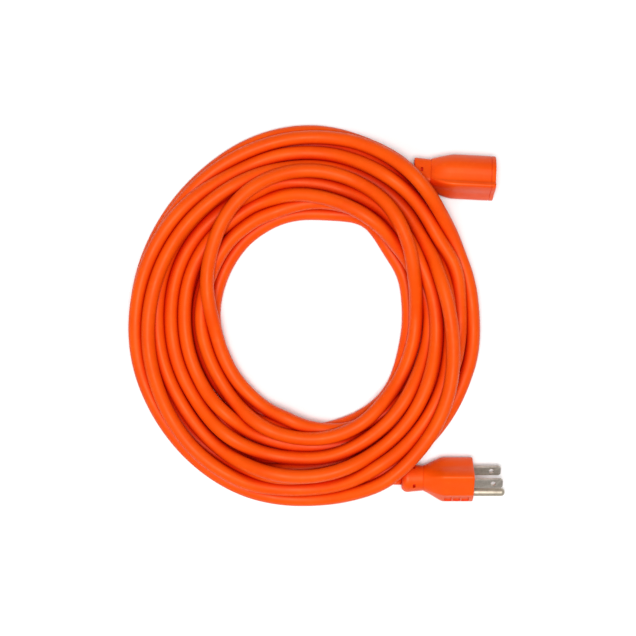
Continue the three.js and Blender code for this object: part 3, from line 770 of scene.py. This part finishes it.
@dataclass
class MouldedEnd:
    """What the plug and the connector share: a body, a strain relief and how they lie."""

    name: str
    neck: Neck
    face: tuple  # where the middle between the blades lies on the face
    yaw: float
    roll: float
    straight: float
    length: float
    wall: float
    face_wall: float
    relief: tuple  # (how far back, how much wider than the neck)
    round_points: int = 168
    blade_offset: float = 6.35
    pin_offset: float = 11.9
    cord_radius: float = 4.202
    stub_radius: float = 6.0
    stub_length: float = 4.5
    seam: float = 0.15
    side_bulge: float = 0
    flex_back: float = 5.5

    @property
    def around(self) -> np.ndarray:
        """Angles of the points of each ring."""
        return np.linspace(0, 2 * math.pi, self.round_points, endpoint=False)

    @property
    def frame(self) -> Matrix:
        """Where the end's own frame lies."""
        turned = Matrix.Rotation(math.radians(self.yaw), 4, "Z")
        rolled = Matrix.Rotation(math.radians(self.roll), 4, "X")
        return Matrix.Translation(Vector(self.face) * MM) @ turned @ rolled

    def section(self) -> np.ndarray:
        """Outline of the body behind its face, as an array of (y, z)."""
        raise NotImplementedError

    def build_body(self) -> bpy.types.Object:
        """The hollow body with its openings."""
        raise NotImplementedError

    def room(self) -> np.ndarray:
        """Outline that the body's wall is measured from, as an array of (y, z)."""
        return self.section()

    def _radii(self, outline: np.ndarray) -> np.ndarray:
        """Way from the neck's axis to an outline, in even steps round it."""
        spread = outline - (0, self.neck.axis)
        angle = np.arctan2(spread[:, 1], spread[:, 0]) % (2 * math.pi)
        sort = np.argsort(angle)
        across = np.interp(self.around, angle[sort], spread[sort, 0], period=2 * math.pi)
        up = np.interp(self.around, angle[sort], spread[sort, 1], period=2 * math.pi)
        return np.hypot(across, up)

    def _neck_radii(self) -> np.ndarray:
        """Way from the neck's axis to its outline."""
        neck = self.neck
        corners = [(-neck.half_y, neck.axis - neck.half_z), (neck.half_y, neck.axis - neck.half_z),
                   (neck.half_y, neck.axis + neck.half_z), (-neck.half_y, neck.axis + neck.half_z)]
        fillet = min(neck.fillet, neck.half_y - 0.01, neck.half_z - 0.01)
        return self._radii(polygon_with_fillets(corners, [fillet] * 4))

    def _ring(self, x: float, radii: np.ndarray) -> np.ndarray:
        """A ring of points at one place along X, in metres."""
        return np.stack([np.full_like(self.around, x), radii * np.cos(self.around),
                         self.neck.axis + radii * np.sin(self.around)], 1) * MM

    def _share_round(self, x: float) -> np.ndarray:
        """The taper at each point round the section: later at the sides than at the crest."""
        return self._taper(x) ** (1 + self.side_bulge * np.cos(self.around) ** 2)

    def _taper(self, x: float) -> float:
        """Share of the way from the body's section to the neck's, eased in at its start."""
        share = (-x - self.straight) / (self.length - self.straight)
        ease = 0.14
        if share < -ease:
            return 0.0
        return min((share + ease) ** 2 / (4 * ease) if share < ease else share, 1.0)

    def _shell(self, lip: tuple) -> bpy.types.Object:
        """The outer form of the body, from its rounded face to the neck.

        Args:
            lip: Pairs of x and inset that shape the rim behind the face.

        Returns:
            The closed outer form.
        """
        section, neck = self._radii(self.section()), self._neck_radii()
        rear = -self.length - self.seam
        stations = [(x, inset) for x, inset in lip]
        stations += [(x, 0) for x in np.linspace(lip[-1][0] - 1, -self.straight + 3, 6)]
        stations += [(x, 0) for x in np.linspace(-self.straight + 2, rear + 1.2, 16)]
        stations += [(rear + 0.3, 0), (rear + 0.08, 0.05), (rear, 0.16)]
        rings = []
        for x, inset in stations:
            share = self._share_round(x)
            rings.append(self._ring(x, (1 - share) * section + share * neck - inset))
        return loft(f"{self.name}_body_finished", rings)

    def _hollow(self) -> bpy.types.Object:
        """The room inside the body, open at the back."""
        section = self._radii(self.room()) - self.wall
        bore = np.full(self.round_points, self.stub_radius + ASSEMBLY_GAP)
        rings = [self._ring(-self.face_wall, section),
                 self._ring(-self.straight + self.wall, section),
                 self._ring(-self.length - 1, bore)]
        return loft("hollow", rings)

    @staticmethod
    def _bar(name: str, radius: float, y: float, z: float, start: float,
             end: float) -> bpy.types.Object:
        """A round bar along X, for cutting a bore."""
        around = np.linspace(0, 2 * math.pi, 48, endpoint=False)
        rings = [np.stack([np.full_like(around, x), y + radius * np.cos(around),
                           z + radius * np.sin(around)], 1) * MM for x in (start, end)]
        return loft(name, rings)

    def _blade_slots(self, clearance: float) -> list:
        """Cutting blocks for the two blades, through the face wall."""
        size = (self.face_wall + 2, BLADE_THICKNESS + 2 * clearance, BLADE_WIDTH + 2 * clearance)
        return [box("slot", (-self.face_wall / 2 * MM, side * self.blade_offset * MM, 0),
                    tuple(s * MM for s in size), 0.0001) for side in (1, -1)]

    def _finished(self, piece: bpy.types.Object, cutters: list) -> bpy.types.Object:
        """Cut a piece's openings, shade it and put it where the end lies.

        Args:
            piece: The piece, in the end's own frame.
            cutters: The shapes to take out of it.

        Returns:
            The same piece.
        """
        cut(piece, cutters)
        smooth_only(piece, SMOOTH_UNDER)
        piece.data.transform(self.frame)
        return piece

    def dress_mouldings(self, paint: Paintbox) -> None:
        """Model and dress the body and the strain relief."""
        moulding = paint.get(Finish.MOULDING)
        settle(self.build_body(), moulding, "moulding", f"{self.name}_body")
        settle(self.build_relief(), moulding, "moulding", f"{self.name}_strain_relief")

    def build_relief(self) -> bpy.types.Object:
        """The strain relief: a stub inside the body, the flared neck and its flex slots."""
        neck, front = self._neck_radii(), -self.length - self.seam
        stub = np.full(self.round_points, self.stub_radius)
        rings = [self._ring(-self.length + self.stub_length, stub), self._ring(front, stub)]
        rings += [self._ring(front, neck + self.relief[0][1] - 0.16),
                  self._ring(front - 0.08, neck + self.relief[0][1] - 0.05),
                  self._ring(front - 0.3, neck + self.relief[0][1])]
        backs = np.array([back for back, _ in self.relief])
        flares = np.array([flare for _, flare in self.relief])
        rear = -self.length - ASSEMBLY_GAP - backs[-1]
        for share in np.linspace(0.08, 0.985, 26):
            x = front + (rear - front) * share
            flare = np.interp(-self.length - ASSEMBLY_GAP - x, backs, flares)
            rings.append(self._ring(x, neck + flare))
        rings.append(self._ring(rear, neck + flares[-1] - 0.5))
        relief = loft(f"{self.name}_strain_relief_finished", rings)
        axis = self.neck.axis
        cutters = [self._bar("bore", self.cord_radius + 0.05, 0, axis, rear - 1, -self.length + 6)]
        slot_x = (-self.length - ASSEMBLY_GAP - self.flex_back) * MM
        for quarter in range(4):
            reach = (self.neck.half_z if quarter % 2 else self.neck.half_y) * MM
            size = (1.6 * MM, 4.4 * MM, 2.6 * MM)
            block = box("flex_slot", (slot_x, reach, 0), size, 0.0003)
            turned = Matrix.Rotation(quarter * math.pi / 2, 4, "X")
            block.data.transform(Matrix.Translation((0, 0, axis * MM)) @ turned)
            cutters.append(block)
        return self._finished(relief, cutters)


@dataclass
class Plug(MouldedEnd):
    """The plug: six-sided body with grip pads, two blades and a ground pin."""

    half_width: float = 10.5
    base: float = -7.8
    shoulder: float = 6.5
    crest_half_width: float = 5.0
    crest: float = 15.5
    fillet: float = 1.7
    pin_radius: float = 2.4
    pin_reach: float = 20.1

    def section(self) -> np.ndarray:
        """A flat base, straight sides and two slanted sides up to a narrow crest."""
        corners = [(-self.half_width, self.base), (self.half_width, self.base),
                   (self.half_width, self.shoulder), (self.crest_half_width, self.crest),
                   (-self.crest_half_width, self.crest), (-self.half_width, self.shoulder)]
        return polygon_with_fillets(corners, [self.fillet] * 6)

    def build_body(self) -> bpy.types.Object:
        """The hollow body with its slots and three shallow grip pads on each slanted side."""
        lip = ((0, 0.75), (-0.05, 0.45), (-0.2, 0.2), (-0.42, 0.06), (-0.75, 0))
        body = self._shell(lip)
        cutters = [self._hollow(), *self._blade_slots(0.12)]
        cutters.append(self._bar("pin_hole", self.pin_radius + 0.12, 0, self.pin_offset,
                                 -self.face_wall - 1, 1))
        lean = math.atan2(self.half_width - self.crest_half_width, self.crest - self.shoulder)
        middle = ((self.half_width + self.crest_half_width) / 2, (self.shoulder + self.crest) / 2)
        for side in (1, -1):
            for x in (-4.9, -10.2, -15.5):
                pad = box("grip_pad", (x * MM, 0, 0), (4.3 * MM, 1.7 * MM, 7.2 * MM), 0.0003)
                turned = Matrix.Rotation(side * lean, 4, "X")
                place = Matrix.Translation((0, side * middle[0] * MM, middle[1] * MM))
                pad.data.transform(place @ turned)
                cutters.append(pad)
        return self._finished(body, cutters)

    def build_pin(self) -> bpy.types.Object:
        """The ground pin: a domed tip, the round shaft, its shank and crimp barrel."""
        r = self.pin_radius
        tip = [(self.pin_reach - r * 0.92 + r * 0.92 * math.sin(a), r * math.cos(a))
               for a in np.linspace(math.radians(84), 0, 9)]
        shaft = [(0.0, r), (-self.face_wall, r), (-self.face_wall, 1.7), (-10.6, 1.7),
                 (-10.6, 1.5), (-15.6, 1.5), (-15.6, 0.95), (-11.6, 0.95)]
        around = np.linspace(0, 2 * math.pi, 56, endpoint=False)
        rings = [np.stack([np.full_like(around, x), q * np.cos(around),
                           self.pin_offset + q * np.sin(around)], 1) * MM for x, q in tip + shaft]
        pin = loft("plug_ground_pin_finished", rings)
        smooth_only(pin, 35)
        pin.data.transform(self.frame)
        return pin

    def build_blade(self, node: str) -> bpy.types.Object:
        """A blade from its CAD node, with its stamped edges broken."""
        blade = copy_of_node(node)
        soften(blade, 0.00018, 35)
        return blade

    def build(self, paint: Paintbox) -> None:
        """Model and dress the plug's outer pieces."""
        self.dress_mouldings(paint)
        settle(self.build_pin(), paint.get(Finish.PIN), "ground_pin_metal", "plug_ground_pin")
        for node in ("plug_line_blade", "plug_neutral_blade"):
            settle(self.build_blade(node), paint.get(Finish.NICKEL), "nickel_blade", node)


@dataclass
class Connector(MouldedEnd):
    """The connector: an arched body on a flat base, with two slots and a ground hole."""

    half_width: float = 10.75
    base: float = -7.5
    crest: float = 17.0
    corner: float = 1.5
    waist: tuple = (  # (height, how far the sides draw in there)
        (13, 0), (10, -0.15), (7.5, -0.5), (5.5, -0.65), (4, -0.5), (2.5, -0.1), (0.5, 0.5),
        (-1.2, 0.9), (-2.6, 1.15), (-3.6, 1.2), (-4.3, 1.0), (-4.8, 0.6), (-5.2, 0.22),
        (-5.6, 0.04), (-6, 0),
    )
    slot_clearance: float = 0.35
    hole_radius: float = 2.7

    def section(self) -> np.ndarray:
        """A round arch whose sides draw in a little before they meet the base's corners."""
        centre = self.crest - self.half_width
        heights, draws = zip(*self.waist[::-1])
        arch = []
        for a in np.linspace(0, math.pi, 60):
            z = centre + self.half_width * math.sin(a)
            draw = np.interp(z, heights, draws) * math.cos(a)
            arch.append((self.half_width * math.cos(a) - draw, z))
        side = [(self.half_width - float(np.interp(z, heights, draws)), z)
                for z in np.linspace(centre - 0.25, self.base + self.corner + 0.05, 40)]
        turn = [(self.half_width - self.corner + self.corner * math.cos(a),
                 self.base + self.corner + self.corner * math.sin(a))
                for a in np.linspace(0, -math.pi / 2, 10)]
        right = side + turn
        left = [(-y, z) for y, z in right]
        return np.array(arch + left + right[::-1])

    def room(self) -> np.ndarray:
        """The same outline with straight sides, which clears the contact carrier."""
        return replace(self, waist=((self.crest, 0), (self.base, 0))).section()

    def build_body(self) -> bpy.types.Object:
        """The hollow body with a thin lip behind its face, two slots and the ground hole."""
        lip = ((0, 0.6), (-0.05, 0.33), (-0.2, 0.12), (-0.45, 0), (-2.45, 0), (-2.6, 0.3),
               (-2.95, 0.3), (-3.1, 0), (-3.6, 0))
        body = self._shell(lip)
        cutters = [self._hollow(), *self._blade_slots(self.slot_clearance)]
        cutters.append(self._bar("ground_hole", self.hole_radius, 0, self.pin_offset,
                                 -self.face_wall - 1, 1))
        return self._finished(body, cutters)


def plug() -> Plug:
    """The plug, lying on the slanted side next to its neutral blade."""
    slant = math.atan2(10.5 - 5.0, 15.5 - 6.5)
    height = 10.5 * math.cos(slant) + 6.5 * math.sin(slant)
    return Plug(name="plug", neck=Neck(1, 7.7, 7.7, 7.7), face=(95.1, -98.5, height), yaw=0,
                roll=90 + math.degrees(slant), straight=19, length=30.7, wall=1.6, face_wall=3,
                relief=((0, 0), (6, 0.55), (9, 0.9), (10.2, 0.8), (11.2, 0.4), (12.2, -0.35),
                        (12.8, -1.2), (13, -1.9)))


def connector() -> Connector:
    """The connector, leaning over on its arch."""
    lean = math.radians(20)
    height = 10.75 + (17 - 10.75) * math.sin(lean)
    return Connector(name="connector", neck=Neck(3.7, 7, 8.8, 4), face=(108.1, 81.4, height),
                     yaw=-3, roll=-90 - math.degrees(lean), straight=25, length=39.3, wall=1.6,
                     face_wall=3, side_bulge=1.5,
                     relief=((0, -0.4), (9.4, 0.2), (9.9, 0.05), (10.1, -0.3)))


# ------------------------------------------------------------------ inner pieces


class InnerPieces:
    """The CAD nodes that keep their shape: each gets its finish."""

    BY_ENDING = {
        "jacket_end": (Finish.MOULDING, "cord_jacket"),
        "blade_bridge": (Finish.INSERT, "insert_plastic"),
        "contact_carrier": (Finish.INSERT, "insert_plastic"),
        "_contact": (Finish.BRASS, "contact_brass"),
        "line_wire_insulation": (Finish.LINE, "line_insulation"),
        "neutral_wire_insulation": (Finish.NEUTRAL, "neutral_insulation"),
        "ground_wire_insulation": (Finish.GROUND, "ground_insulation"),
        "copper_core": (Finish.COPPER, "copper"),
    }

    def dress(self, paint: Paintbox) -> None:
        """Give each remaining node the finish that its name calls for."""
        for name, node in sorted(frame["nodes"].items()):
            for ending, (finish, slot) in self.BY_ENDING.items():
                if name.endswith(ending):
                    node.data.materials.clear()
                    node.data.materials.append(paint.get(finish))
                    LOG.info("%s: %s", name, finish.name)


# ------------------------------------------------------------------ studio


@dataclass
class Studio:
    """Pale floor, soft lights and the camera straight above."""

    distance: float = 0.985
    aim: tuple = (0.0, -0.0012)
    view_width: float = 0.3902
    focus_height: float = 0.012

    def build(self) -> None:
        """Make the floor, the lights and the camera."""
        self._camera()
        self._floor()
        self._lights()

    def _camera(self) -> None:
        """The camera looks straight down, with +Y up in its picture."""
        lens = bpy.data.cameras.new("camera")
        reach = self.distance - self.focus_height
        lens.angle = 2 * math.atan(self.view_width / 2 / reach)
        lens.clip_start = 0.01
        camera = bpy.data.objects.new("camera", lens)
        camera.location = (*self.aim, self.distance)
        bpy.context.scene.collection.objects.link(camera)
        bpy.context.scene.camera = camera

    def _floor(self) -> None:
        """A wide plain floor."""
        deselect_all()
        bpy.ops.mesh.primitive_plane_add(size=12)
        floor = bpy.context.object
        floor.name = "floor"
        graph = Graph("pale_floor")
        graph.fix({"Base Color": (0.93, 0.93, 0.93, 1), "Roughness": 0.9,
                   "Specular IOR Level": 0.1})
        floor.data.materials.append(graph.material)

    def _lights(self) -> None:
        """A large soft light overhead, a soft key from the upper left and an even surround."""
        for name, place, size, power in (
            ("overhead", (0.0, -0.12, 1.7), 0.7, 27),
            ("key", (-0.5, -0.7, 1.6), 0.6, 5),
        ):
            light = bpy.data.lights.new(name, "AREA")
            light.shape = "DISK"
            light.size = size
            light.energy = power
            lamp = bpy.data.objects.new(name, light)
            lamp.location = place
            lamp.rotation_euler = (-Vector(place)).to_track_quat("-Z", "Y").to_euler()
            bpy.context.scene.collection.objects.link(lamp)
        world = bpy.data.worlds.new("surround")
        world.use_nodes = True
        world.node_tree.nodes["Background"].inputs["Color"].default_value = (1, 1, 1, 1)
        world.node_tree.nodes["Background"].inputs["Strength"].default_value = 0.26
        scene = bpy.context.scene
        scene.world = world
        scene.view_settings.view_transform = "Standard"


def main() -> None:
    """Build the cord round its frame, in order."""
    logging.basicConfig(level=logging.INFO, format="%(message)s")
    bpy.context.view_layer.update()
    Studio().build()
    paint = Paintbox()
    cord = CoiledCord()
    tube = cord.build()
    settle(tube, paint.get(Finish.JACKET), "cord_jacket",
           "cord_coil", "cord_plug_tail", "cord_connector_tail")
    connector().dress_mouldings(paint)
    plug().build(paint)
    InnerPieces().dress(paint)
    on_plug = [name for name in sorted(frame["nodes"]) if name.startswith("plug_")
               and not frame["nodes"][name].hide_render]
    on_plug += [o.name for o in bpy.context.scene.objects
                if o.name.startswith("plug_") and o.name.endswith("_finished")]
    LOG.info("cord: %.3f m", cord.length())


if __name__ == "__main__":
    main()
